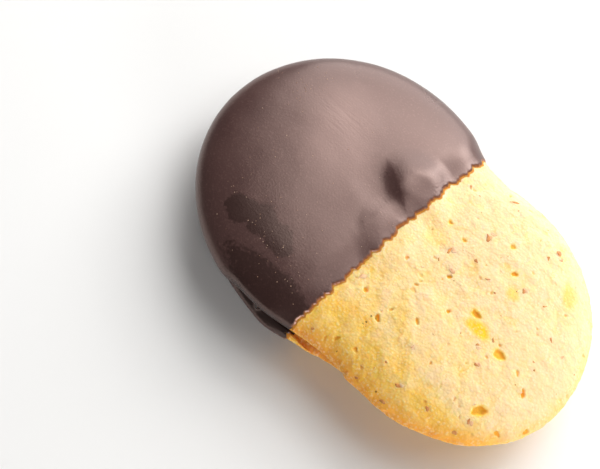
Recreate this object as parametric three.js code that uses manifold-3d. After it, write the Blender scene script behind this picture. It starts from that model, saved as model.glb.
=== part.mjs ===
// A cat tongue cookie. Two piped nut biscuits, each two round lobes that ran together at a waist, lie flat
// side to flat side on a layer of chocolate filling, and one end of the pair is dipped in dark chocolate.
//
// Millimetres, +Z up. X runs along the cookie, with the dipped end at -X and the bare end at +X. The
// origin is under the middle of the cookie, on the surface that it lies on.

import * as THREE from 'three';
import { mergeVertices } from 'three/addons/utils/BufferGeometryUtils.js';
import Module from 'manifold-3d';

// ---- driving dimensions ----

const radians = THREE.MathUtils.degToRad;

// The middle of the waist, from which every outline is drawn.
const WAIST_X = 2.5;

// Each biscuit's plan is two lobes, dipped end first. waistFill is how far the batter ran together
// between them: the lower the number, the fuller the waist. flat is the height of its flat baked side,
// rim that of its widest line, crest that of its domed side at each lobe, and saddle how far the dome
// sinks over the waist. rimDrop is how far the flat side stays inside the widest line. wobble is how far
// the outline comes and goes all round, and bulges are the places where the batter spread out further.
const UPPER = {
  lobes: [{ x: -10.75, y: -0.1, r: 22 }, { x: 13.25, y: -0.6, r: 20.45 }],
  waistFill: 5,
  facing: 1,
  flat: 7.6,
  rim: 8.6,
  crest: [13.1, 13.7],
  saddle: 0.45,
  rimDrop: 1.3,
  wobble: [{ waves: 4, depth: 0.3, turn: 2.7 }, { waves: 5, depth: 0.1, turn: 3.4 }],
  bulges: [],
};
const LOWER = {
  lobes: [{ x: -10.8, y: 0.6, r: 21.1 }, { x: 13.8, y: 0.5, r: 19.3 }],
  waistFill: 4,
  facing: -1,
  flat: 6.4,
  rim: 5.3,
  crest: [1, -0.6],
  saddle: 0.3,
  rimDrop: 1.3,
  wobble: [{ waves: 6, depth: 0.1, turn: 1.2 }, { waves: 9, depth: 0.1, turn: 0.3 }],
  bulges: [{ angle: radians(-99), spread: radians(18), height: 2.5 }],
};
const SADDLE_LENGTH = 8;        // from the waist to where the saddle has nearly gone

// A dome's section: 2 is an ellipse, and more is a flatter top with a steeper rim.
const DOME_SQUARENESS = 2.9;

const FILLING_RECESS = 1.5;     // from the narrower biscuit's rim in to the edge of the filling
const FILLING_GAP = 0.12;       // left between the filling and each biscuit
const FILLING_WOBBLE = [{ waves: 5, depth: 0.2, turn: 1 }, { waves: 8, depth: 0.15, turn: 0 }];

const COAT = 0.85;              // thickness of the chocolate over the dipped end
const COAT_EDGE = 0.45;         // its thickness at the dip line
const COAT_TAPER = 5;           // length over which it thins
const COAT_POOL = 0.75;         // more of it underneath, where it ran down and set on the tray
const COAT_GAP = 0.2;           // left between the chocolate and what it covers

// The dip line crosses the waist nearly square to the cookie, in small round scallops, and draws back
// toward the dipped end at two notches.
const DIP_X = -0.8;
const DIP_SLANT = 0.045;
const DIP_SCALLOPS = [{ length: 3.3, depth: 0.3 }, { length: 1.9, depth: 0.15 }];
const DIP_NOTCHES = [{ y: 10.7, depth: 0.5, width: 0.9 }, { y: 0.6, depth: 0.4, width: 1.6 }];
const DIP_STEP = 0.55;

// Between the two coated rims runs a seam, shallow except beside the waist on the -Y side, where the
// chocolate didn't close it.
const SEAM_DEPTH = 0.5;
const SEAM_OPEN_DEPTH = 1.7;
const SEAM_OPEN_FROM = radians(-131);
const SEAM_OPEN_FULL = radians(-119);
const SEAM_OPEN_TO = radians(-85);

// Lumps in the chocolate on top, beside the dip line, and the hollow behind them.
const LUMPS = [
  { x: -2.6, y: 9.2, length: 3.0, width: 3.4, height: 0.75 },
  { x: -3.2, y: 4.6, length: 2.6, width: 3.0, height: 0.7 },
  { x: -2.6, y: -1.2, length: 2.6, width: 2.6, height: 0.5 },
  { x: -7.0, y: 3.4, length: 2.4, width: 2.8, height: -0.3 },
];

const AROUND = 84;              // steps around an outline
const DOME_RINGS = 8;           // from a rim to its crest
const UNDER_RINGS = 3;          // from a rim to its flat side

// ---- outlines ----

const smooth = THREE.MathUtils.smoothstep;

// The distance from the waist's middle to a lobe's circle, along one direction.
function reachOfLobe(lobe, angle) {
  const dx = lobe.x - WAIST_X;
  const along = dx * Math.cos(angle) + lobe.y * Math.sin(angle);
  return along + Math.sqrt(along ** 2 - dx ** 2 - lobe.y ** 2 + lobe.r ** 2);
}

function wobbleAt(wobble, angle) {
  return wobble.reduce((sum, { waves, depth, turn }) => sum + depth * Math.sin(waves * angle + turn), 0);
}

function bulgeAt(bulge, angle) {
  const away = Math.atan2(Math.sin(angle - bulge.angle), Math.cos(angle - bulge.angle));
  return bulge.height * Math.exp(-((away / bulge.spread) ** 2));
}

// The distance from the waist's middle to a biscuit's widest line.
function reach(biscuit, angle) {
  const fill = biscuit.waistFill;
  const lobes = biscuit.lobes.reduce((sum, lobe) => sum + reachOfLobe(lobe, angle) ** fill, 0);
  const bulges = biscuit.bulges.reduce((sum, bulge) => sum + bulgeAt(bulge, angle), 0);
  return lobes ** (1 / fill) + bulges + wobbleAt(biscuit.wobble, angle);
}

function narrowerReach(angle) {
  return Math.min(reach(UPPER, angle), reach(LOWER, angle));
}

// Where the chocolate ends, at a distance y across the cookie.
function dipLine(y) {
  const round = (length) => Math.abs(Math.sin((Math.PI * y) / length)) - 2 / Math.PI;
  const scallop = (x, { length, depth }) => x + depth * round(length);
  const notch = (x, { y: at, depth, width }) => x - depth * Math.exp(-(((y - at) / width) ** 2));
  return DIP_NOTCHES.reduce(notch, DIP_SCALLOPS.reduce(scallop, DIP_X + DIP_SLANT * y));
}

// ---- solids of revolution, but around an outline instead of a circle ----

// Rings of points, from the one around the lower pole to the one around the upper pole, closed at each
// pole by a fan. Each ring is a function from an angle to a point.
function closedForm(lowerPole, rings, upperPole) {
  const points = [lowerPole];
  for (const ring of rings) {
    for (let i = 0; i < AROUND; i++) points.push(ring((2 * Math.PI * i) / AROUND));
  }
  points.push(upperPole);
  const last = points.length - 1;
  const faces = [];
  for (let i = 0; i < AROUND; i++) {
    const next = (i + 1) % AROUND;
    faces.push(0, 1 + next, 1 + i);
    for (let k = 0; k < rings.length - 1; k++) {
      const a = 1 + k * AROUND + i;
      const b = 1 + k * AROUND + next;
      faces.push(a, b, b + AROUND);
      faces.push(a, b + AROUND, a + AROUND);
    }
    faces.push(last - AROUND + i, last - AROUND + next, last);
  }
  const geometry = new THREE.BufferGeometry();
  geometry.setAttribute('position', new THREE.Float32BufferAttribute(points.flat(), 3));
  geometry.setIndex(faces);
  return geometry;
}

function pointOut(distance, angle, z) {
  return [WAIST_X + distance * Math.cos(angle), distance * Math.sin(angle), z];
}

// The height of a biscuit's domed side over the middle of the cookie, at one place along it.
function crestHeight(biscuit, x) {
  const [dippedEnd, bareEnd] = biscuit.lobes;
  const towardBareEnd = smooth(x, dippedEnd.x, bareEnd.x);
  const sunk = biscuit.saddle * Math.exp(-(((x - WAIST_X) / SADDLE_LENGTH) ** 2));
  return THREE.MathUtils.lerp(biscuit.crest[0], biscuit.crest[1], towardBareEnd) - biscuit.facing * sunk;
}

// A biscuit, or with grow, a form that stands off it by that much all over. grow and relief are
// functions of a place in plan. Nothing reaches below the surface that the cookie lies on, so both
// lobes have a small flat spot there.
function biscuitForm(biscuit, grow = () => 0, relief = () => 0) {
  const { facing, flat, rim } = biscuit;
  const onDome = (rise) => (angle) => {
    const share = Math.cos(rise) ** (2 / DOME_SQUARENESS);
    const [x, y] = pointOut(reach(biscuit, angle) * share, angle, 0);
    const extra = grow(x, y);
    const height = facing * (crestHeight(biscuit, x) - rim) + extra + relief(x, y);
    const out = (reach(biscuit, angle) + extra) * share;
    return pointOut(out, angle, Math.max(rim + facing * height * Math.sin(rise), 0));
  };
  const underRim = (turn) => (angle) => {
    const [x, y] = pointOut(reach(biscuit, angle), angle, 0);
    const extra = grow(x, y);
    const out = reach(biscuit, angle) - biscuit.rimDrop + (biscuit.rimDrop + extra) * Math.cos(turn);
    return pointOut(out, angle, rim + (flat - rim - facing * extra) * Math.sin(turn));
  };
  const rings = [];
  for (let k = UNDER_RINGS; k > 0; k--) rings.push(underRim((Math.PI / 2) * (k / UNDER_RINGS)));
  for (let k = 0; k < DOME_RINGS; k++) rings.push(onDome((Math.PI / 2) * (k / DOME_RINGS)));
  const flatPole = [WAIST_X, 0, flat - facing * grow(WAIST_X, 0)];
  const crown = facing * (crestHeight(biscuit, WAIST_X) - rim) + grow(WAIST_X, 0) + relief(WAIST_X, 0);
  const crestPole = [WAIST_X, 0, Math.max(rim + facing * crown, 0)];
  if (facing > 0) return closedForm(flatPole, rings, crestPole);
  return closedForm(crestPole, rings.reverse(), flatPole);
}

// A flat layer with an upright edge.
function layer(outline, bottom, top) {
  const edge = (z) => (angle) => pointOut(outline(angle), angle, z);
  return closedForm([WAIST_X, 0, bottom], [edge(bottom), edge(top)], [WAIST_X, 0, top]);
}

function fillingForm(gap) {
  const outline = (angle) => narrowerReach(angle) - FILLING_RECESS + wobbleAt(FILLING_WOBBLE, angle) + gap;
  return layer(outline, LOWER.flat + FILLING_GAP - gap, UPPER.flat - FILLING_GAP + gap);
}

// ---- the chocolate coat ----

const wasm = await Module();
wasm.setup();

function toSolid(geometry) {
  const bare = geometry.clone();
  bare.deleteAttribute('normal');
  bare.deleteAttribute('uv');
  const merged = mergeVertices(bare);
  return new wasm.Manifold(new wasm.Mesh({
    numProp: 3,
    vertProperties: new Float32Array(merged.getAttribute('position').array),
    triVerts: new Uint32Array(merged.getIndex().array),
  }));
}

function toGeometry(solid) {
  const mesh = solid.getMesh();
  const geometry = new THREE.BufferGeometry();
  geometry.setAttribute('position', new THREE.BufferAttribute(mesh.vertProperties, 3));
  geometry.setIndex(new THREE.BufferAttribute(mesh.triVerts, 1));
  return geometry;
}

// Everything on the chocolate's side of the dip line.
function dippedSpace() {
  const far = 2 * Math.abs(UPPER.lobes[0].x - UPPER.lobes[0].r);
  const shape = new THREE.Shape();
  shape.moveTo(-far, -far);
  for (let y = -far; y <= far; y += DIP_STEP) shape.lineTo(dipLine(y), y);
  shape.lineTo(-far, far);
  const geometry = new THREE.ExtrudeGeometry(shape, { depth: far, bevelEnabled: false });
  geometry.translate(0, 0, -far / 2);
  return geometry;
}

function lumps(x, y) {
  return LUMPS.reduce(
    (sum, { x: cx, y: cy, length, width, height }) =>
      sum + height * Math.exp(-(((x - cx) / length) ** 2) - ((y - cy) / width) ** 2),
    0,
  );
}

// The chocolate between the two coated rims, out to the bottom of the seam.
function seamFill() {
  const outline = (angle) => {
    const turn = angle > Math.PI ? angle - 2 * Math.PI : angle;
    const open = smooth(turn, SEAM_OPEN_FROM, SEAM_OPEN_FULL) * (1 - smooth(turn, SEAM_OPEN_TO, 0));
    return narrowerReach(angle) + COAT - THREE.MathUtils.lerp(SEAM_DEPTH, SEAM_OPEN_DEPTH, open);
  };
  return layer(outline, LOWER.rim, UPPER.rim);
}

function coatForm() {
  const skin = (x, y) => COAT_EDGE + (COAT - COAT_EDGE) * smooth(dipLine(y) - x, 0, COAT_TAPER);
  const gap = () => COAT_GAP;
  const pool = (x, y) => COAT_POOL * smooth(dipLine(y) - x, 0, COAT_TAPER);
  const outside = toSolid(biscuitForm(UPPER, skin, lumps))
    .add(toSolid(biscuitForm(LOWER, skin, pool)))
    .add(toSolid(seamFill()))
    .intersect(toSolid(dippedSpace()));
  const inside = toSolid(biscuitForm(UPPER, gap))
    .add(toSolid(biscuitForm(LOWER, gap)))
    .add(toSolid(fillingForm(COAT_GAP)));
  return toGeometry(outside.subtract(inside));
}

// ---- the cookie ----

const biscuitLook = { color: 0xf0d49c, roughness: 0.85, metalness: 0 };
const fillingLook = { color: 0x4a2e28, roughness: 0.5, metalness: 0 };
const coatLook = { color: 0x4a3330, roughness: 0.38, metalness: 0 };

function piece(name, geometry, look) {
  const mesh = new THREE.Mesh(geometry, new THREE.MeshStandardMaterial(look));
  mesh.name = name;
  return mesh;
}

const cookie = new THREE.Group();
cookie.add(piece('top_biscuit', biscuitForm(UPPER), biscuitLook));
cookie.add(piece('bottom_biscuit', biscuitForm(LOWER), biscuitLook));
cookie.add(piece('filling', fillingForm(0), fillingLook));
cookie.add(piece('chocolate_coat', coatForm(), coatLook));

export default cookie;
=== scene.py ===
import math
import random

import bmesh
import bpy
import numpy as np
from mathutils import Matrix, Quaternion, Vector


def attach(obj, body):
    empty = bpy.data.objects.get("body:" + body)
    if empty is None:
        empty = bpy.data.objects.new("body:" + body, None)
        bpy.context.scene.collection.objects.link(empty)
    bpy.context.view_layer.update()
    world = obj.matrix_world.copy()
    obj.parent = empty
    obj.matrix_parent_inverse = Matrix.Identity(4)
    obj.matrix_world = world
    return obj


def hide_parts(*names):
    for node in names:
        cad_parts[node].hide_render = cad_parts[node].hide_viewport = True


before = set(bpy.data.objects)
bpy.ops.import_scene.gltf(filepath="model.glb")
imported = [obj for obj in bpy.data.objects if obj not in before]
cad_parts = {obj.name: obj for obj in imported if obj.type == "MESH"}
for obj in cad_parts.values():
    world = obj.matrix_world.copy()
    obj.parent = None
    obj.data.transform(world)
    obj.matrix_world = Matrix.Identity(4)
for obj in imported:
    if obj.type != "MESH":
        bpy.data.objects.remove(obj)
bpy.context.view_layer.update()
scene = bpy.context.scene


# ---------------------------------------------------------------------------------------------
# The upper biscuit. A soft, buttery nut batter is piped as two rounds that run together at a waist,
# and baked on a flat tray. The top domes and dries to a pale open crumb with small burst bubbles and
# lumps over the bits of nut, and turns golden toward one side and at its thin rim.

MM = 0.001


def select_only(piece):
    bpy.ops.object.select_all(action="DESELECT")
    piece.select_set(True)
    bpy.context.view_layer.objects.active = piece


def finish_with(piece, kind, **settings):
    """Adds one modifier to a piece and applies it."""
    select_only(piece)
    modifier = piece.modifiers.new(kind.title(), kind)
    for name, value in settings.items():
        setattr(modifier, name, value)
    bpy.ops.object.modifier_apply(modifier=modifier.name)


def smooth_form(node, name):
    """A copy of a form in the frame, its loose triangles merged, and its facets rounded off."""
    piece = bpy.data.objects.new(name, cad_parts[node].data.copy())
    bpy.context.collection.objects.link(piece)
    select_only(piece)
    bpy.ops.object.mode_set(mode="EDIT")
    bpy.ops.mesh.select_all(action="SELECT")
    bpy.ops.mesh.remove_doubles(threshold=0.001 * MM)
    bpy.ops.mesh.tris_convert_to_quads()
    bpy.ops.mesh.normals_make_consistent(inside=False)
    bpy.ops.object.mode_set(mode="OBJECT")
    piece.data.materials.clear()
    finish_with(piece, "SUBSURF", levels=2, render_levels=2)
    return piece


def pick_faces(piece, chosen):
    """Opens a piece in edit mode with the faces selected that chosen(centre in mm, normal) is true for."""
    select_only(piece)
    bpy.ops.object.mode_set(mode="EDIT")
    bpy.ops.mesh.select_mode(type="FACE")
    bpy.ops.mesh.select_all(action="DESELECT")
    edit = bmesh.from_edit_mesh(piece.data)
    for face in edit.faces:
        face.select_set(chosen(face.calc_center_median() / MM, face.normal))
    bmesh.update_edit_mesh(piece.data)


def refine(piece, chosen):
    """Cuts each chosen face in four."""
    pick_faces(piece, chosen)
    bpy.ops.mesh.subdivide(number_cuts=1)
    bpy.ops.object.mode_set(mode="OBJECT")


def thin_out(piece, chosen, share):
    """Leaves only a share of the chosen faces, where nothing shows."""
    pick_faces(piece, chosen)
    bpy.ops.mesh.decimate(ratio=share)
    bpy.ops.object.mode_set(mode="OBJECT")


def places_of(piece):
    """The piece's vertices in millimetres, one row each."""
    flat = np.empty(len(piece.data.vertices) * 3)
    piece.data.vertices.foreach_get("co", flat)
    return flat.reshape(-1, 3) / MM


def weigh(piece, weights):
    """A vertex group with a weight from 0 to 1 for each vertex, in steps of a hundredth."""
    group = piece.vertex_groups.new(name="weights")
    steps = np.rint(np.clip(weights, 0, 1) * 100).astype(int)
    for step in np.unique(steps[steps > 0]):
        group.add(np.flatnonzero(steps == step).tolist(), step / 100, "REPLACE")
    return group.name


def push(piece, weights, height, direction="NORMAL"):
    """Moves the surface out by height millimetres where the weight is 1, and less where it is less."""
    finish_with(piece, "DISPLACE", vertex_group=weigh(piece, weights), strength=height * MM, mid_level=0,
                direction=direction)
    piece.vertex_groups.clear()


def roughen(piece, grain, height, weights):
    """Raises and sinks the surface in a cloudy pattern: grain is its size, and height from low to high."""
    pattern = bpy.data.textures.new(f"clouds {grain}", "CLOUDS")
    pattern.noise_scale = grain * MM
    finish_with(piece, "DISPLACE", texture=pattern, texture_coords="LOCAL", mid_level=0.5,
                vertex_group=weigh(piece, weights), strength=height * MM)
    piece.vertex_groups.clear()


def set_down(piece):
    """Flattens what would reach below the surface that the cookie lies on."""
    select_only(piece)
    bpy.ops.object.mode_set(mode="EDIT")
    bpy.ops.mesh.select_mode(type="VERT")
    bpy.ops.mesh.select_all(action="DESELECT")
    edit = bmesh.from_edit_mesh(piece.data)
    for vertex in edit.verts:
        vertex.select_set(vertex.co.z < 0)
    bmesh.update_edit_mesh(piece.data)
    bpy.ops.transform.resize(value=(1, 1, 0), center_override=(0, 0, 0))
    bpy.ops.object.mode_set(mode="OBJECT")


def mark(piece, name, amounts):
    """Keeps an amount from 0 to 1 at each vertex, for the material to read."""
    kept = piece.data.attributes.new(name, "FLOAT", "POINT")
    kept.data.foreach_set("value", np.clip(amounts, 0, 1).astype(np.float32))


def ease(x, start, end):
    """0 before start, 1 after end, and a smooth slope between."""
    t = np.clip((x - start) / (end - start), 0, 1)
    return t * t * (3 - 2 * t)


# The chocolate ends at the dip line, which crosses the waist at a slight slant. It has scallops (length,
# depth), a finer ragged edge (length, depth, start of the wave) and two notches (y, depth, width).
DIP_X, DIP_SLANT = -0.8, 0.045
DIP_SCALLOPS = ((3.3, 0.3), (1.9, 0.15))
DIP_RAGGED = ((2.47, 0.1, 0.4), (1.31, 0.08, 1.0), (0.77, 0.045, 2.2))
DIP_NOTCHES = ((10.7, 0.5, 0.9), (0.6, 0.4, 1.6))


def past_dip(places):
    """How far each place lies past the dip line, on the bare side, in mm."""
    y = places[:, 1]
    line = DIP_X + DIP_SLANT * y
    for length, depth in DIP_SCALLOPS:
        line = line + depth * (np.abs(np.sin(np.pi * y / length)) - 2 / np.pi)
    for length, depth, start in DIP_RAGGED:
        line = line + depth * np.sin(2 * np.pi * y / length + start)
    for at, depth, width in DIP_NOTCHES:
        line = line - depth * np.exp(-(((y - at) / width) ** 2))
    return places[:, 0] - line


def within(places, spots, edge=0.5, ragged=0.0):
    """How much each place lies in one of the spots, seen from above: 1 inside, 0 outside.

    A spot is (x, y, length, width, turn in degrees, strength). edge is the share of its radius over
    which it fades, and ragged makes its outline uneven.
    """
    inside = np.zeros(len(places))
    for x, y, length, width, turn, strength in spots:
        reach = max(length, width) * (0.6 + edge)
        near = np.flatnonzero((abs(places[:, 0] - x) < reach) & (abs(places[:, 1] - y) < reach))
        along, across = math.cos(math.radians(turn)), math.sin(math.radians(turn))
        dx, dy = places[near, 0] - x, places[near, 1] - y
        u = (dx * along + dy * across) / (length / 2)
        v = (dy * along - dx * across) / (width / 2)
        angle = np.arctan2(v, u)
        wobble = np.sin(2 * angle + 5 * x) + 0.8 * np.sin(3 * angle + 3 * y) + 0.6 * np.sin(5 * angle + 7 * x)
        away = np.hypot(u, v) / (1 + ragged * wobble)
        inside[near] = np.maximum(inside[near], strength * (1 - ease(away, 1 - edge / 2, 1 + edge / 2)))
    return inside


# Grain and height of each layer of the baked surface: where the batter spread in soft humps, where
# it lies over bits of nut, and the crumb itself.
CRUMB_RELIEF = ((7.0, 0.42), (2.3, 0.36), (1.0, 0.13), (0.45, 0.07))
UNDER_CHOCOLATE = 0.25          # the share of that relief left where the chocolate has filled it
BARE_WITHIN = 0.8               # it fades to that over this far to each side of the dip line


def give_crumb(biscuit, layers):
    """Roughens a biscuit with the first few layers, and returns how far that raised each place, in mm."""
    before = places_of(biscuit)
    outward = np.empty(before.size)
    biscuit.data.vertices.foreach_get("normal", outward)
    bare = UNDER_CHOCOLATE + (1 - UNDER_CHOCOLATE) * ease(past_dip(before), -BARE_WITHIN, BARE_WITHIN)
    for grain, height in CRUMB_RELIEF[:layers]:
        roughen(biscuit, grain, height, bare)
    return ((places_of(biscuit) - before) * outward.reshape(-1, 3)).sum(axis=1)


# Lumps over bits of nut on top, and a shallow dent, which the chocolate follows: (x, y, length, width,
# turn, fade, height). The first has a steep face: the top of it, the way up it, and how far it reaches.
LUMPS = (
    (-3.4, 6.8, 8.8, 7.8, 0, 1.3, 1.0), (-1.0, -1.6, 7.8, 8.4, 15, 1.2, 0.6),
    (-0.6, 16.8, 6.0, 5.6, 0, 1.2, 0.25), (-8.2, 2.4, 6.0, 5.0, -30, 1.5, -0.18),
)
STEEP_AT, STEEP_WAY, STEEP_WIDTH = np.array((-5.1, 4.1)), math.radians(61), 5.2
STEEP_CURVE = 2                 # it steepens toward the top
LUMPS_FROM = 9                  # they stand on what lies above this


def raise_lumps(piece):
    """Raises the lumps on a piece and sinks the dent, so that the biscuit and its coat agree."""
    for number, (x, y, length, width, turn, fade, height) in enumerate(LUMPS):
        at = places_of(piece)
        rise = within(at, [(x, y, length, width, turn, 1)], edge=fade, ragged=0.04) * (at[:, 2] > LUMPS_FROM)
        if number == 0:
            up_it = (at[:, :2] - STEEP_AT) @ (math.cos(STEEP_WAY), math.sin(STEEP_WAY))
            rise = rise * np.clip(up_it / STEEP_WIDTH + 1, 0, 1) ** STEEP_CURVE
        push(piece, rise, height, "Z")


BISCUIT_MESH = 0.3              # size of the biscuit's faces, halved where it is bare
BARE_FROM = -2.5                # everything past this, along the cookie, may show
FLAT_SIDE = 0.7                 # a face that points more straight up or down than this can be on a flat side
HIDDEN_SHARE = 0.12             # how many of the faces are left where nothing shows
TOP_RIM = 8.6                   # height of the upper biscuit's rim

upper = smooth_form("top_biscuit", "upper_biscuit")
finish_with(upper, "REMESH", mode="VOXEL", voxel_size=BISCUIT_MESH * MM)
refine(upper, lambda at, normal: at.x > BARE_FROM and normal.z > -FLAT_SIDE)
raise_lumps(upper)
upper_relief = give_crumb(upper, 4)

# Burst bubbles that show on the top: (x, y, length, width, turn, depth as a share of BUBBLE_DEPTH).
# None are on the very rim, or within BUBBLES_FROM of the dip line.
BUBBLE_DEPTH, BUBBLE_RIM, BUBBLES_FROM = 0.42, 0.5, 0.2
BUBBLES = [
    (25.4, -11.5, 2.0, 1.3, 49, 1.0), (21.9, -3.5, 1.6, 1.3, 20, 0.8), (15.5, -1.5, 1.3, 0.9, 10, 0.8),
    (28.2, -4.8, 1.3, 0.6, -45, 1.0), (25.6, -3.4, 0.9, 0.5, -40, 0.6),
    (12.3, 10.6, 0.9, 0.7, 0, 0.6), (15.3, 7.5, 0.8, 0.6, 40, 0.7), (6.6, 5.9, 0.6, 0.5, 0, 0.6),
    (3.3, 6.6, 0.7, 0.5, 30, 0.6), (8.9, -0.1, 0.7, 0.6, 20, 0.7), (1.8, -10.5, 0.7, 0.7, 0, 0.7),
    (5.9, -12.4, 1.3, 0.6, -35, 1.0), (2.7, -2.7, 0.5, 0.7, 0, 0.5), (6.6, -5.6, 0.9, 0.8, 0, 0.4),
    (12.4, -4.2, 0.7, 0.5, 50, 0.8), (10.3, -8.8, 1.0, 0.5, -40, 0.7), (6.8, -17.8, 0.7, 0.6, 0, 0.6),
    (3.8, -18.4, 0.8, 0.6, 50, 0.7), (29.5, -11.5, 1.0, 0.6, 30, 0.8), (32.4, -7.9, 0.9, 0.9, 0, 0.9),
]
# Smaller ones: how many, and between what they lie and what sizes they are.
SMALL_BUBBLES, SMALL_LENGTHS, SMALL_WIDTHS, SMALL_DEPTHS = 65, (0.3, 0.75), (0.22, 0.45), (0.2, 0.5)
BARE_X, BARE_Y = (-1, 34), (-22, 22)

chance = random.Random(11)


def small_bubbles(count):
    """Bubbles anywhere over the bare end."""
    return [(chance.uniform(*BARE_X), chance.uniform(*BARE_Y), chance.uniform(*SMALL_LENGTHS),
             chance.uniform(*SMALL_WIDTHS), chance.uniform(0, 180), chance.uniform(*SMALL_DEPTHS))
            for _ in range(count)]


upper_bubbles = BUBBLES + small_bubbles(SMALL_BUBBLES)
at = places_of(upper)
open_top = (at[:, 2] > TOP_RIM + BUBBLE_RIM) * (past_dip(at) > BUBBLES_FROM)
hollow = within(at, upper_bubbles, edge=0.5, ragged=0.12) * open_top
push(upper, hollow, -BUBBLE_DEPTH)

# Dark pinpricks, and soft spots where the butter came through: the same way of writing a spot.
PINPRICKS = [
    (5.1, -12.8, 0.35, 0.3, 0, 1.0), (5.2, -13.9, 0.3, 0.3, 0, 1.0), (5.0, -14.4, 0.25, 0.25, 0, 0.9),
    (5.4, -14.7, 0.2, 0.2, 0, 0.8), (9.8, -0.1, 0.25, 0.25, 0, 0.8), (13.1, -19.8, 0.35, 0.3, 0, 0.9),
    (5.1, -19.5, 0.3, 0.25, 0, 0.8), (-0.1, -9.6, 0.3, 0.2, 0, 0.8), (5.8, -12.5, 0.5, 0.25, -40, 0.7),
]
BUTTER_SPOTS = [
    (17.2, -3.0, 4.6, 2.0, 5, 1.0), (15.5, -1.5, 1.7, 1.3, 10, 1.0), (21.9, -3.5, 2.0, 1.6, 20, 0.9),
    (23.2, 11.7, 4.4, 2.6, -45, 0.55), (17.2, 4.9, 2.4, 1.8, 0, 0.6), (13.7, 7.4, 1.8, 1.4, 0, 0.4),
    (12.3, 10.6, 1.2, 1.0, 0, 0.6), (15.3, 7.5, 1.2, 0.8, 40, 0.8), (8.0, -10.2, 5.5, 3.0, -30, 0.35),
    (3.6, -10.6, 4.0, 2.4, -60, 0.4), (25.5, -11.5, 2.6, 1.8, 49, 0.8), (3.3, 6.6, 1.1, 0.8, 0, 0.6),
    (6.6, 5.9, 1.0, 0.8, 0, 0.6), (19.5, 1.5, 2.6, 1.4, 30, 0.3), (10.5, 3.5, 3.4, 1.6, -50, 0.3),
    (3.5, 3.0, 5.0, 3.0, 40, 0.35),
]

# It baked more golden toward the waist and the -Y side than at the far corner, and brown along the rim.
GOLDEN_MIDDLE, GOLDEN_PER_MM = 0.3, (-0.0138, -0.028)    # at x = y = 0, and the change along x and y
GOLDEN_SIDE, GOLDEN_SIDE_AT = 0.6, (-12, -19)   # how much more at the -Y side, growing between these y
GOLDEN_LOW, GOLDEN_LOW_AT = 0.5, (11.5, 9.0)    # how much more low down, growing between these heights
BROWNED_ALL_ROUND, BROWNED_UP_TO = 0.35, 11.8   # how brown the rim is all round, and how high that reaches
BROWNED_SIDE_AT = (-8, -17)                     # between these y it turns fully brown
FRINGE = (0.28, -0.05)          # how far past the dip line fat from the chocolate soaked in

at = places_of(upper)
mark(upper, "raised", 0.5 + upper_relief)
mark(upper, "hollow", hollow)
mark(upper, "pinprick", within(at, PINPRICKS, edge=0.8))
mark(upper, "butter", within(at, BUTTER_SPOTS, edge=1.1, ragged=0.08))
mark(upper, "stained", ease(past_dip(at), *FRINGE))
mark(upper, "golden", GOLDEN_MIDDLE + at[:, :2] @ GOLDEN_PER_MM
     + GOLDEN_SIDE * ease(at[:, 1], *GOLDEN_SIDE_AT) + GOLDEN_LOW * ease(at[:, 2], *GOLDEN_LOW_AT))
side = BROWNED_ALL_ROUND + (1 - BROWNED_ALL_ROUND) * ease(at[:, 1], *BROWNED_SIDE_AT)
mark(upper, "browned_and_crevice_shade", ease(at[:, 2], BROWNED_UP_TO, TOP_RIM) * side)
thin_out(upper, lambda at, normal: at.x < BARE_FROM or normal.z < -FLAT_SIDE, HIDDEN_SHARE)


def colour(hex_value):
    """A linear colour from an sRGB one written as hex."""
    channels = [int(hex_value[k:k + 2], 16) / 255 for k in (1, 3, 5)]
    return tuple(c / 12.92 if c <= 0.04045 else ((c + 0.055) / 1.055) ** 2.4 for c in channels) + (1,)


def fill(tree, node, values):
    """Sets a node's inputs, or links them to another node's output."""
    for name, value in values.items():
        if isinstance(value, bpy.types.NodeSocket):
            tree.links.new(value, node.inputs[name])
        else:
            node.inputs[name].default_value = value


def add(tree, kind, values, **settings):
    """Adds a node. settings are its properties, and values are what its inputs hold or are linked to."""
    made = tree.nodes.new("ShaderNode" + kind)
    for name, value in settings.items():
        setattr(made, name, value)
    fill(tree, made, values)
    return made


def start_material(name):
    """A new material, its nodes, its surface, and the place on the piece, which its patterns follow."""
    made = bpy.data.materials.new(name)
    made.use_nodes = True
    place = add(made.node_tree, "TexCoord", {}).outputs["Object"]
    return made, made.node_tree, made.node_tree.nodes["Principled BSDF"], place


# Each of these adds to the material that was started last.
FACTOR, COLOUR_A, COLOUR_B = 0, 6, 7        # a Mix node's inputs when it mixes colours
MIXED = 2                                   # and its output
PER_MM = 1 / MM


def kept(name):
    """An amount that the piece keeps at each vertex."""
    return add(tree, "Attribute", {}, attribute_name=name).outputs["Fac"]


def noise(size, detail=2.0):
    """A random pattern with patches of about this size in mm."""
    return add(tree, "TexNoise", {"Vector": here, "Scale": PER_MM / size, "Detail": detail}).outputs["Fac"]


def product(first, second):
    """One amount times another."""
    return add(tree, "Math", {0: first, 1: second}, operation="MULTIPLY").outputs[0]


def uneven(amount, pattern, spread):
    """An amount made uneven by a pattern, up or down by half the spread."""
    middle = add(tree, "Math", {0: amount, 1: -spread / 2}).outputs[0]
    return add(tree, "Math", {0: pattern, 1: spread, 2: middle}, operation="MULTIPLY_ADD").outputs[0]


def ramp(value, start=0.0, end=1.0, low=0.0, high=1.0):
    """Goes from low to high while the value goes from start to end."""
    return add(tree, "MapRange", {"Value": value, "From Min": start, "From Max": end, "To Min": low,
                                  "To Max": high}).outputs[0]


def blend(amount, first, second):
    """The first colour where the amount is 0, and the second where it is 1."""
    return add(tree, "Mix", {FACTOR: amount, COLOUR_A: first, COLOUR_B: second},
               data_type="RGBA").outputs[MIXED]


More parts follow.
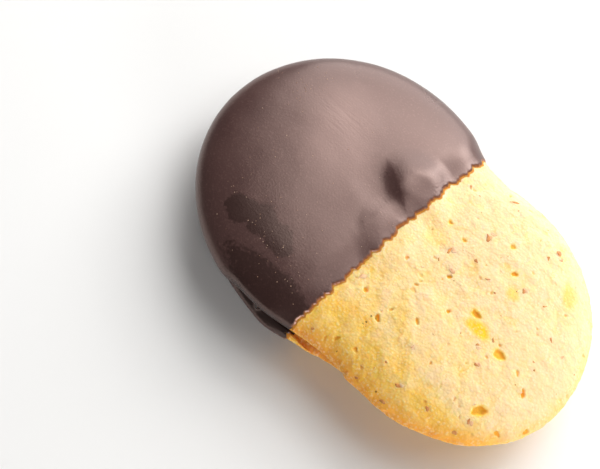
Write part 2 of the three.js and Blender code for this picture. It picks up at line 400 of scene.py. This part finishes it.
# Baked nut batter: matt and dry, with light going a little way into it, so that its hollows glow
# yellow instead of going grey. Pale grains of sugar and nut meal stand in a warmer ground.
crumb, tree, skin, here = start_material("baked nut biscuit crumb")
patches, mottle, meal = noise(3.0, 3.0), noise(1.1, 3.0), noise(0.32)
grains = add(tree, "TexVoronoi", {"Vector": here, "Scale": PER_MM / 0.42}).outputs["Distance"]
# What stands up is paler and the low parts deeper yellow: partly how it dried, partly painted warm shade in
# the hollows.
baked = uneven(uneven(uneven(kept("golden"), patches, 1.4), mottle, 1.0), kept("raised"), -1.2)
look = blend(ramp(baked, end=0.5), colour("#F8D6A5"), colour("#FAD592"))
look = blend(ramp(baked, start=0.5), look, colour("#FFC85E"))
# The brown amount is browning, and on the lower biscuit also painted shade in its crevice.
for name, pattern, spread, start, end, tint in (
        ("browned_and_crevice_shade", mottle, 0.3, 0.1, 0.8, "#F9B146"), ("browned_and_crevice_shade", mottle, 0.4, 0.75, 1.3, "#D28A42"),
        ("butter", meal, 0.25, 0.1, 0.95, "#FFC62C")):
    look = blend(ramp(uneven(kept(name), pattern, spread), start, end), look, colour(tint))
pale_grains = product(ramp(uneven(grains, meal, -1.2), 0.55, 0.2), ramp(mottle, 0.35, 0.6, high=0.35))
look = blend(pale_grains, look, colour("#FDEEC8"))
# Inside the burst bubbles it is deeper yellow, partly the crumb's own colour and partly painted shade; then
# pinpricks and fat stain.
for name, start, end, tint in (("hollow", 0.1, 0.7, "#F9BE46"), ("pinprick", 0.3, 0.9, "#7A5228"),
                               ("stained", 0.2, 0.8, "#CC8430")):
    look = blend(ramp(uneven(kept(name), meal, 0.3), start, end), look, colour(tint))
bumps = add(tree, "Bump", {"Distance": 0.06 * MM, "Height": grains}, invert=True).outputs[0]
bumps = add(tree, "Bump", {"Distance": 0.025 * MM, "Height": meal, "Normal": bumps}).outputs[0]
fill(tree, skin, {"Base Color": look, "Normal": bumps, "Roughness": 0.85, "Specular IOR Level": 0.25,
                  "Subsurface Weight": 0.9, "Subsurface Radius": (1.0, 0.65, 0.25),
                  "Subsurface Scale": 1.2 * MM})


def hand_in(piece, material, node):
    """Gives a finished piece its material and its place in the frame."""
    piece.data.materials.append(material)
    select_only(piece)
    bpy.ops.object.shade_smooth()
    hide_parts(node)
    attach(piece, "root")


hand_in(upper, crumb, "top_biscuit")


# ---------------------------------------------------------------------------------------------
# The lower biscuit. It is the same kind, laid flat side up, so its dome is underneath and the cookie
# rests on it. It spread wider than the upper one at the waist, where it shows below the rim.

LOWER_RIM = 5.3                 # height of its rim
# Beside the waist its flat side falls away under the upper one's rim, and leaves a crevice: where that is
# seen from above, how deep, and the heights between which it sets in and is painted darker as shade.
CREVICE, CREVICE_DEPTH = [(2.5, -19.4, 10.0, 2.0, 8, 1.0)], 1.2
CREVICE_HEIGHTS, CREVICE_SHADE_HEIGHTS = (3.6, 6.0), (3.6, 4.6)
# It is golden all over, a little more so toward -Y, and browned toward its rim and on the -Y side; in the
# crevice it is painted darker brown, as shade under the upper rim.
LOWER_GOLDEN, LOWER_GOLDEN_PER_Y = 0.75, -0.01
BROWNED_UP, BROWNED_UP_AT, BROWNED_SIDE, CREVICE_SHADE = 0.45, (1.0, LOWER_RIM), 0.25, 0.8
LOWER_BUBBLE_RIM = 0.3          # none are this close to its rim

lower = smooth_form("bottom_biscuit", "lower_biscuit")
finish_with(lower, "REMESH", mode="VOXEL", voxel_size=BISCUIT_MESH * MM)
refine(lower, lambda at, normal: at.x > BARE_FROM and normal.z < FLAT_SIDE)
lower_relief = give_crumb(lower, 4)
at = places_of(lower)
push(lower, within(at, CREVICE, edge=0.8) * ease(at[:, 2], *CREVICE_HEIGHTS), -CREVICE_DEPTH, "Z")
lower_bubbles = small_bubbles(SMALL_BUBBLES)
at = places_of(lower)
open_side = (at[:, 2] < LOWER_RIM - LOWER_BUBBLE_RIM) * (past_dip(at) > BUBBLES_FROM)
hollow = within(at, lower_bubbles, edge=0.5, ragged=0.12) * open_side
push(lower, hollow, -BUBBLE_DEPTH)
set_down(lower)
at = places_of(lower)
mark(lower, "raised", 0.5 + lower_relief)
mark(lower, "hollow", hollow)
mark(lower, "pinprick", np.zeros(len(at)))
mark(lower, "butter", np.zeros(len(at)))
mark(lower, "stained", ease(past_dip(at), *FRINGE))
mark(lower, "golden", LOWER_GOLDEN + LOWER_GOLDEN_PER_Y * at[:, 1])
# The crevice's share is painted shade under the upper biscuit's rim, on top of the browning.
mark(lower, "browned_and_crevice_shade", BROWNED_UP * ease(at[:, 2], *BROWNED_UP_AT)
     + BROWNED_SIDE * ease(at[:, 1], *BROWNED_SIDE_AT)
     + CREVICE_SHADE * within(at, CREVICE, edge=0.8) * ease(at[:, 2], *CREVICE_SHADE_HEIGHTS))
thin_out(lower, lambda at, normal: at.x < BARE_FROM or normal.z > FLAT_SIDE, HIDDEN_SHARE)
hand_in(lower, crumb, "bottom_biscuit")


# ---------------------------------------------------------------------------------------------
# The filling. Soft chocolate is spread on one flat side, and squeezed out a little unevenly when the
# other biscuit is pressed on. It shows as a dark line well inside the rims.

FILLING_MESH = 0.35
FILLING_RELIEF = ((5.0, 1.1), (1.5, 0.25))      # how it was squeezed out, and its creases: size, height

filling = smooth_form("filling", "chocolate_filling")
finish_with(filling, "REMESH", mode="VOXEL", voxel_size=FILLING_MESH * MM)
all_of_it = np.ones(len(filling.data.vertices))
for grain, height in FILLING_RELIEF:
    roughen(filling, grain, height, all_of_it)

# Dark chocolate cream: softer and duller than the coat.
cream, tree, skin, here = start_material("soft chocolate filling")
streaks = noise(1.4, 3.0)
fill(tree, skin, {"Base Color": blend(streaks, colour("#2E1A15"), colour("#4A2E26")), "Roughness": 0.5,
                  "Normal": add(tree, "Bump", {"Distance": 0.08 * MM, "Height": streaks}).outputs[0]})
hand_in(filling, cream, "filling")


# ---------------------------------------------------------------------------------------------
# The chocolate coat. The end is dipped in tempered dark chocolate, which runs down, pools a little
# underneath and sets. It hides the crumb, and keeps lumps and a hollow beside the dip line. Between
# the two rims it didn't close the gap beside the waist.

COAT, COAT_EDGE, COAT_TAPER = 0.85, 0.18, 5     # its thickness, that at its edge, and how far back it thins
COAT_POOL, UNDERSIDE = 0.75, 3                  # what more pooled underneath, below this height
COAT_MESH = 0.25
SEAM_BELT = 1.85                # how far the chocolate between the rims stands out from the filling
# The open gap on the -Y side: where it starts and where it is full along the cookie, how much thinner the
# chocolate is in it, and the one drip across it. Past the sides (on the biscuits, on the filling) nothing
# thins. The rims turn into it between two heights, on the upper and on the lower biscuit.
GAP_FROM, GAP_FULL = -15.0, -11.0
GAP_THINNER, BELT_THINNER = 0.85, 0.9
GAP_SIDE, BELT_SIDE, GAP_LIP = -15, -12, -22.3
UPPER_TURN, LOWER_TURN = (9.8, 8.6), (4.9, 5.8)
DRIP_AT, DRIP_SIZE = (-8.0, -21.5, 7.1), (0.45, 0.6, 1.5)

coat = smooth_form("top_biscuit", "dark_chocolate_coat")
under = smooth_form("bottom_biscuit", "coat_under")
belt = smooth_form("filling", "coat_belt")
for form, turn_in in ((coat, UPPER_TURN), (under, LOWER_TURN)):
    give_crumb(form, 1)
    at = places_of(form)
    behind_dip = DIP_X + DIP_SLANT * at[:, 1] - at[:, 0]
    thick = COAT_EDGE + (COAT - COAT_EDGE) * ease(behind_dip, 0, COAT_TAPER)
    # Inside the gap the chocolate is only a film.
    thick = thick * (1 - GAP_THINNER * (at[:, 1] < GAP_SIDE) * ease(at[:, 0], GAP_FROM, GAP_FULL)
                     * ease(at[:, 2], *turn_in))
    push(form, thick / COAT, COAT)
at = places_of(under)
push(under, ease(-past_dip(at), 0, COAT_TAPER) * (at[:, 2] < UNDERSIDE), COAT_POOL)
at = places_of(belt)
push(belt, 1 - BELT_THINNER * (at[:, 1] < BELT_SIDE) * ease(at[:, 0], GAP_FROM, GAP_FULL), SEAM_BELT)
bpy.ops.object.select_all(action="DESELECT")
bpy.ops.mesh.primitive_ico_sphere_add(subdivisions=3, radius=MM, location=Vector(DRIP_AT) * MM,
                                      scale=DRIP_SIZE)
drip = bpy.context.active_object
bpy.ops.object.select_all(action="DESELECT")
for form in (coat, under, belt, drip):
    form.select_set(True)
bpy.context.view_layer.objects.active = coat
bpy.ops.object.join()
finish_with(coat, "REMESH", mode="VOXEL", voxel_size=COAT_MESH * MM)
finish_with(coat, "SMOOTH", factor=0.5, iterations=8)
raise_lumps(coat)

# Everything well past the dip line is cut off. The edge sinks into the crumb, over a short way to each side
# of the line, and ends there.
CUT_X = 1.6
EDGE_WITHIN, EDGE_SINKS, COAT_END = 0.6, 0.6, 0.45
select_only(coat)
bpy.ops.object.mode_set(mode="EDIT")
bpy.ops.mesh.select_all(action="SELECT")
bpy.ops.mesh.bisect(plane_co=(CUT_X * MM, 0, 0), plane_no=(1, 0, 0), clear_outer=True)
bpy.ops.object.mode_set(mode="OBJECT")
refine(coat, lambda at, normal: at.x > BARE_FROM)
at = places_of(coat)
push(coat, ease(past_dip(at), -EDGE_WITHIN, EDGE_WITHIN), -EDGE_SINKS)
pick_faces(coat, lambda at, normal: at.x > BARE_FROM and past_dip(np.array([at]))[0] > COAT_END)
bpy.ops.mesh.delete(type="FACE")
bpy.ops.object.mode_set(mode="OBJECT")

COAT_DEPTH = 0.9                # down to the biscuits, which it touches all over
finish_with(coat, "SOLIDIFY", thickness=COAT_DEPTH * MM, offset=-1)
set_down(coat)

DIPPED_LOBE_X = -13             # the middle of the dipped lobe
INSIDE_ABOVE, INSIDE_BELOW = 9.5, 4     # past these heights a face that points back down, or up, is inside
POINTS_IN, POINTS_BACK = 0.35, 0.3      # how far it has to point that way
RESTING_SHARE = 0.4             # how many faces are left where it rests


def against_biscuits(at, normal):
    """Whether a face belongs to the coat's inner side, which lies against the biscuits."""
    out_x, out_y = at.x - DIPPED_LOBE_X, at.y
    inward = normal.x * out_x + normal.y * out_y < -POINTS_IN * math.hypot(out_x, out_y)
    downward = at.z > INSIDE_ABOVE and normal.z < -POINTS_BACK
    upward = at.z < INSIDE_BELOW and normal.z > POINTS_BACK
    return at.x < BARE_FROM and (inward or downward or upward)


thin_out(coat, against_biscuits, HIDDEN_SHARE)
thin_out(coat, lambda at, normal: at.x < BARE_FROM and at.z < UNDERSIDE and normal.z < -FLAT_SIDE,
         RESTING_SHARE)

# Where it was touched while it set (the first three smudges) and a darker strip along the -Y side that is
# painted shade (the last one); where it was combed as it ran down; and a paler patch over the middle that is
# painted sheen.
at = places_of(coat)
SMUDGES_AND_SIDE_SHADE = [(-19.2, -14.6, 5.5, 4.0, 20, 0.9), (-15.6, -14.0, 5.0, 4.4, 0, 1.0),
           (-11.8, -14.4, 5.4, 3.8, -20, 0.9), (-7.0, -20.5, 20.0, 7.0, 5, 0.7)]
COMBED = [(-19.5, 7.6, 9.0, 7.0, 20, 1.0)]
PAINTED_SHEEN = [(-17.5, 4.5, 15.0, 10.0, -60, 1.0)]
DARKENED_ABOVE = 8
# The coat is thin enough at its edge for the crumb to show through, but not where it fills the seam.
THIN = (-0.6, -0.1)
SEAM_FROM, SEAM_TO = 5.4, 9.3
# Inside the gap the chocolate is painted near black, as painted shade in the recess: the heights where that
# sets in above the lower biscuit's rim and below the upper one's, and how soft its outer limit is.
GAP_FLOOR, GAP_ROOF, LIP_SOFT = (4.9, 5.4), (9.2, 8.7), 0.4

# The last smudge spot is painted shade along the -Y side of the top; the others are where it was touched.
mark(coat, "smudge_and_side_shade", within(at, SMUDGES_AND_SIDE_SHADE, edge=0.7, ragged=0.1) * (at[:, 2] > DARKENED_ABOVE))
mark(coat, "combed", within(at, COMBED, edge=1.2))
# A paler patch over the middle of the dipped lobe: painted sheen.
mark(coat, "painted_sheen", within(at, PAINTED_SHEEN, edge=1.5))
in_seam = (at[:, 2] > SEAM_FROM) & (at[:, 2] < SEAM_TO)
mark(coat, "thin", ease(past_dip(at), *THIN) * ~in_seam)
# Painted shade: the inside of the gap, between the rims on the -Y side, is painted near black.
mark(coat, "inside", ease(at[:, 0], GAP_FROM, GAP_FULL) * (at[:, 1] < GAP_SIDE)
     * ease(at[:, 1], GAP_LIP - LIP_SOFT, GAP_LIP + LIP_SOFT)
     * ease(at[:, 2], *GAP_FLOOR) * ease(at[:, 2], *GAP_ROOF))

# Tempered dark chocolate, set in the open air: a soft pinkish sheen over nearly black brown, with fine
# streaks where it ran, a dusting of bloom, a paler patch over the middle that is painted sheen, a dark dull
# patch where it was touched, and painted shade: a darker strip along the -Y side and the inside of the gap.
chocolate, tree, skin, here = start_material("dark chocolate, dipped and set")
clouds, dust, grit = noise(6, 3.0), noise(0.3), noise(0.5, 4.0)
along_run = add(tree, "Mapping", {"Vector": here, "Rotation": (0, 0, math.radians(25)),
                                  "Scale": (1, 7, 1)}).outputs[0]
runs = add(tree, "TexNoise", {"Vector": along_run, "Scale": PER_MM / 3.5, "Detail": 4.0}).outputs["Fac"]
look = blend(clouds, colour("#3F2928"), colour("#503734"))
# Dust, painted sheen over the middle, touch marks, painted shade along the -Y side and in the gap, the thin
# edge.
for amount, tint in ((ramp(dust, 0.55, 0.75, high=0.35), "#7A5C55"),
                     (ramp(uneven(kept("painted_sheen"), clouds, 0.6), 0.1, high=0.6), "#8A706A"),
                     (ramp(uneven(kept("smudge_and_side_shade"), grit, 1.2), 0.3, 0.6, high=0.9), "#2A1614"),
                     (kept("inside"), "#1E0F0D"), (kept("thin"), "#9C5C2A")):
    look = blend(amount, look, colour(tint))
combed_runs = product(runs, kept("combed"))
bumps = add(tree, "Bump", {"Distance": 0.03 * MM, "Height": combed_runs}).outputs[0]
bumps = add(tree, "Bump", {"Distance": 0.015 * MM, "Height": dust, "Normal": bumps}).outputs[0]
fill(tree, skin, {"Base Color": look, "Roughness": ramp(clouds, 0.3, 0.7, 0.27, 0.34), "Normal": bumps,
                  "Specular IOR Level": 1.0, "Specular Tint": colour("#FFDDD1")})
hand_in(coat, chocolate, "chocolate_coat")


# ---------------------------------------------------------------------------------------------
# The flecks. Almonds are chopped with their skins on, so the crumb is dotted with thin reddish brown
# flakes of skin, each with a little pinkish nut on it, half sunk in the surface.

# Flakes that show on the top: (x, y, length, width, turn in degrees).
SKIN_FLAKES = [
    (8.9, 8.8, 1.8, 0.8, -50), (17.7, 16.1, 1.8, 1.1, 80), (6.2, 3.0, 1.5, 0.6, -80),
    (7.6, 17.0, 2.0, 0.4, 40), (1.5, 13.6, 0.9, 0.5, -50), (14.8, -17.3, 1.1, 0.8, 30),
    (20.0, -16.6, 1.0, 0.6, -20), (20.6, -7.1, 1.0, 0.5, 10), (25.4, -13.6, 1.1, 0.6, -60),
    (25.0, -15.9, 1.2, 0.8, 40), (10.0, 4.7, 0.9, 0.6, -20), (13.2, 3.8, 1.3, 0.3, 40),
    (18.0, 6.6, 1.0, 0.6, -50), (21.7, 7.3, 0.8, 0.3, 50), (26.1, -0.3, 0.5, 0.4, 0),
    (27.0, -1.1, 0.4, 0.4, 0), (25.8, 4.2, 1.1, 0.35, -30), (19.8, -2.5, 1.0, 0.5, -40),
    (18.7, -4.8, 0.8, 0.4, 50), (17.1, 13.7, 0.9, 0.6, -60), (6.0, 0.8, 0.8, 0.3, -50),
    (15.2, 3.0, 0.5, 0.3, 0), (11.3, -16.2, 0.6, 0.4, 0), (9.7, -20.2, 0.8, 0.5, 20),
    (14.7, -20.1, 1.2, 0.5, 10), (0.4, -19.6, 0.9, 0.5, 30),
]
NUT_BITS = [
    (6.6, 3.6, 1.3, 0.9, -60), (9.1, 9.2, 0.9, 0.7, -50), (18.4, 15.2, 1.1, 0.9, 20),
    (0.2, -9.2, 1.8, 0.9, 50), (20.9, -6.8, 0.8, 0.7, 0), (18.2, 6.9, 0.9, 0.8, 0),
    (25.8, -13.4, 1.0, 0.8, 0), (19.1, -5.0, 1.2, 0.8, 40), (15.1, -17.0, 1.0, 0.8, 0),
    (8.6, 0.9, 1.5, 0.9, 0), (9.0, 9.9, 1.3, 1.0, 30),
]
# More of them anywhere: how many, from what length to what, and whether on the upper biscuit.
MORE_FLAKES = ((14, 0.2, 0.4, True), (60, 0.3, 1.4, False))
MORE_NUT_BITS = ((10, 0.4, 0.9, True), (40, 0.5, 1.4, False))
SKIN_THICK, NUT_THICK, LOOSE_THICK = 0.13, 0.25, 0.2
SKIN_SUNK, NUT_SUNK = 0.1, 0.2              # how much of their thickness is sunk in the crumb
CUT_LEAN = 0.15
# Three broken shapes: the sides cut off each, as (angle, distance from the middle).
CHIP_CUTS = (((20, 0.34), (150, 0.3), (255, 0.36)), ((70, 0.28), (190, 0.36), (310, 0.3)),
             ((0, 0.38), (100, 0.3), (215, 0.3), (290, 0.34)))


def chip_shape(cuts):
    """A broken flake, 1 m across until it is scaled: a ball with sides cut off it."""
    bpy.ops.object.select_all(action="DESELECT")
    bpy.ops.mesh.primitive_ico_sphere_add(subdivisions=2, radius=0.5)
    chip = bpy.context.active_object
    bpy.ops.object.mode_set(mode="EDIT")
    for angle, distance in cuts:
        way = Vector((math.cos(math.radians(angle)), math.sin(math.radians(angle)), CUT_LEAN))
        bpy.ops.mesh.select_all(action="SELECT")
        bpy.ops.mesh.bisect(plane_co=way * distance, plane_no=way, clear_outer=True, use_fill=True)
    bpy.ops.mesh.select_all(action="SELECT")
    bpy.ops.mesh.quads_convert_to_tris()
    bpy.ops.mesh.normals_make_consistent(inside=False)
    bpy.ops.object.mode_set(mode="OBJECT")
    return chip


def laid_on(normal, turn):
    """How a piece lies on a surface: turned as seen from above, then tilted with the surface."""
    level = Vector((0, 0, 1 if normal.z >= 0 else -1))
    tilt = level.rotation_difference(normal).to_matrix().to_4x4()
    return tilt @ Matrix.Rotation(math.radians(turn), 4, "Z")


FAR = 40                        # mm above or below the cookie, from where a piece is let down on it


def scatter(name, shapes, spots, carriers, sunk):
    """Lays a copy of a shape on each spot of a biscuit's surface, sunk into it, and joins them."""
    copies = []
    for number, (x, y, length, width, turn, thick, upward) in enumerate(spots):
        carrier = carriers[0] if upward else carriers[1]
        start = Vector((x, y, FAR if upward else -FAR)) * MM
        hit, place, normal, _ = carrier.ray_cast(start, Vector((0, 0, -1 if upward else 1)))
        if not hit:
            continue
        copy = shapes[number % len(shapes)].copy()
        copy.data = copy.data.copy()
        bpy.context.collection.objects.link(copy)
        place = Matrix.Translation(place - normal * sunk * thick * MM)
        size = Matrix.Diagonal((length * MM, width * MM, thick * MM, 1))
        copy.data.transform(place @ laid_on(normal, turn) @ size)
        copies.append(copy)
    bpy.ops.object.select_all(action="DESELECT")
    for copy in copies:
        copy.select_set(True)
    bpy.context.view_layer.objects.active = copies[0]
    bpy.ops.object.join()
    joined = copies[0]
    joined.name = name
    return joined


FLECK_X, FLECK_Y = (0.5, 33), (-21, 21)
BARE_LOBE_X, BARE_LOBE_RADIUS = 13, 19      # the bare lobe, less its rim
FLECK_WIDTHS = (0.4, 0.8)                   # as a share of the length


def bare_spots(count, small, large, upward):
    """Random spots on the bare end: (x, y, length, width, turn, thickness, on the upper biscuit or not)."""
    spots = []
    while len(spots) < count:
        x, y = chance.uniform(*FLECK_X), chance.uniform(*FLECK_Y)
        if math.hypot(x - BARE_LOBE_X, y) < BARE_LOBE_RADIUS:
            length = chance.uniform(small, large)
            spots.append((x, y, length, length * chance.uniform(*FLECK_WIDTHS), chance.uniform(0, 180),
                          LOOSE_THICK, upward))
    return spots


chips = [chip_shape(cuts) for cuts in CHIP_CUTS]
biscuits = (upper, lower)
flake_spots = [spot + (SKIN_THICK, True) for spot in SKIN_FLAKES]
for more in MORE_FLAKES:
    flake_spots += bare_spots(*more)
flakes = scatter("almond_skin_flakes", chips, flake_spots, biscuits, SKIN_SUNK)
nut_spots = [spot + (NUT_THICK, True) for spot in NUT_BITS]
for more in MORE_NUT_BITS:
    nut_spots += bare_spots(*more)
nut_bits = scatter("chopped_almond_bits", chips, nut_spots, biscuits, NUT_SUNK)
for chip in chips:
    bpy.data.objects.remove(chip)
set_down(flakes)
set_down(nut_bits)

# Almond skin, toasted: papery, reddish brown, darker along its ridges.
almond_skin, tree, skin, here = start_material("toasted almond skin")
ridges = noise(0.5, 3.0)
look = blend(ramp(noise(3.0), 0.35, 0.65), colour("#EAA24E"), colour("#DB9A68"))
look = blend(ramp(ridges, 0.4, 0.65), colour("#C67C3C"), look)
fill(tree, skin, {"Base Color": look, "Roughness": 0.7,
                  "Normal": add(tree, "Bump", {"Distance": 0.05 * MM, "Height": ridges}).outputs[0]})

# Chopped almond, baked in: ivory with a pink tinge from the skin.
almond, tree, skin, here = start_material("baked chopped almond")
grain = noise(0.6, 3.0)
fill(tree, skin, {"Base Color": blend(ramp(grain, 0.35, 0.65), colour("#DFA273"), colour("#F3D2A4")),
                  "Roughness": 0.75,
                  "Normal": add(tree, "Bump", {"Distance": 0.05 * MM, "Height": grain}).outputs[0]})

for piece, material in ((flakes, almond_skin), (nut_bits, almond)):
    piece.data.materials.append(material)
    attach(piece, "root")


# ---------------------------------------------------------------------------------------------
# The specks. Fine crumbs and sugar from the tray settled on the chocolate while it was soft, most of
# them near the far end and along the -Y side.

# Where they lie: (x, y, spread, count). None are right at the dip line.
SPECK_CLUSTERS = ((-26.6, 6.3, 2.6, 24), (-25.0, 9.8, 2.4, 8), (-31.0, 6.0, 1.2, 6),
                  (-15.0, -15.5, 6.0, 30), (-8.0, -18.0, 4.0, 22), (-2.0, -0.8, 1.0, 6),
                  (-12.0, -2.0, 14.0, 18), (-22.0, -8.0, 8.0, 14))
SPECK_SIZES, SPECKS_UP_TO, SPECK_SUNK = (0.08, 0.19), -1.5, 0.05
speck_spots = []
for x, y, spread, count in SPECK_CLUSTERS:
    for _ in range(count):
        size = chance.uniform(*SPECK_SIZES)
        spot = (x + chance.gauss(0, spread / 2), y + chance.gauss(0, spread / 2))
        speck_spots.append(spot + (size, size * chance.uniform(0.7, 1), chance.uniform(0, 180), size, True))
speck_spots = [spot for spot in speck_spots if spot[0] < SPECKS_UP_TO]
bpy.ops.object.select_all(action="DESELECT")
bpy.ops.mesh.primitive_ico_sphere_add(subdivisions=1, radius=0.5)
speck = bpy.context.active_object
specks = scatter("crumb_specks", [speck], speck_spots, (coat, coat), SPECK_SUNK)
bpy.data.objects.remove(speck)

# Crumbs brown and pale, and grains of sugar: dry, but less matt than the biscuit.
crumbs, tree, skin, here = start_material("biscuit crumbs and sugar")
look = blend(ramp(noise(1.0), 0.4, 0.6), colour("#9A6F55"), colour("#D0AE94"))
fill(tree, skin, {"Base Color": look, "Roughness": 0.6})
specks.data.materials.append(crumbs)
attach(specks, "root")


# ---------------------------------------------------------------------------------------------
# The floor, the light and the camera, as in a bright product picture: a matt white board, two large soft
# lights overhead and behind, a window further round with one bright pane, and a low light from the side.

bpy.ops.object.select_all(action="DESELECT")
bpy.ops.mesh.primitive_plane_add(size=3, location=(0, 0, 0))
floor = bpy.context.active_object
floor.name = "pale_floor"
board, tree, skin, here = start_material("matt white board")
fill(tree, skin, {"Base Color": colour("#F0EFED"), "Roughness": 0.9})
floor.data.materials.append(board)


def direction(azimuth, elevation):
    """A direction from the cookie: azimuth 0 is the -Y side, and 90 the +X end."""
    a, e = math.radians(azimuth), math.radians(elevation)
    return Vector((math.sin(a) * math.cos(e), -math.cos(a) * math.cos(e), math.sin(e)))


# (azimuth, elevation, size in m, watts)
LAMPS = {"overhead soft box": (158, 58, 0.5, 1.42), "window behind": (199, 28, 0.48, 2.5),
         "high soft box": (196, 60, 0.32, 0.5), "bright pane": (167, 27, 0.16, 0.58),
         "low side light": (62, 10, 0.24, 1.75)}
LAMP_DISTANCE = 0.5             # m
for name, (azimuth, elevation, size, watts) in LAMPS.items():
    way = direction(azimuth, elevation)
    bpy.ops.object.light_add(type="AREA", location=way * LAMP_DISTANCE)
    lamp = bpy.context.active_object
    lamp.name = name
    lamp.data.size = size
    lamp.data.energy = watts
    lamp.rotation_mode = "QUATERNION"
    lamp.rotation_quaternion = (-way).to_track_quat("-Z", "Y")
room = bpy.data.worlds.new("soft room light")
room.use_nodes = True
room.node_tree.nodes["Background"].inputs["Color"].default_value = (1, 1, 1, 1)
room.node_tree.nodes["Background"].inputs["Strength"].default_value = 0.13
scene.world = room
scene.view_settings.view_transform = "Standard"

LOOK_AT = Vector((-11.47, -8.89, 6.9)) * MM
CAMERA_WAY, CAMERA_DISTANCE, CAMERA_ROLL = (20, 65), 294.9 * MM, math.radians(25.6)
back = direction(*CAMERA_WAY)
bpy.ops.object.camera_add(location=LOOK_AT + back * CAMERA_DISTANCE)
camera = bpy.context.active_object
camera.rotation_mode = "QUATERNION"
camera.rotation_quaternion = (-back).to_track_quat("-Z", "Y") @ Quaternion((0, 0, 1), CAMERA_ROLL)
camera.data.lens = 120
camera.data.sensor_width = 36
camera.data.clip_start = 0.01
scene.camera = camera
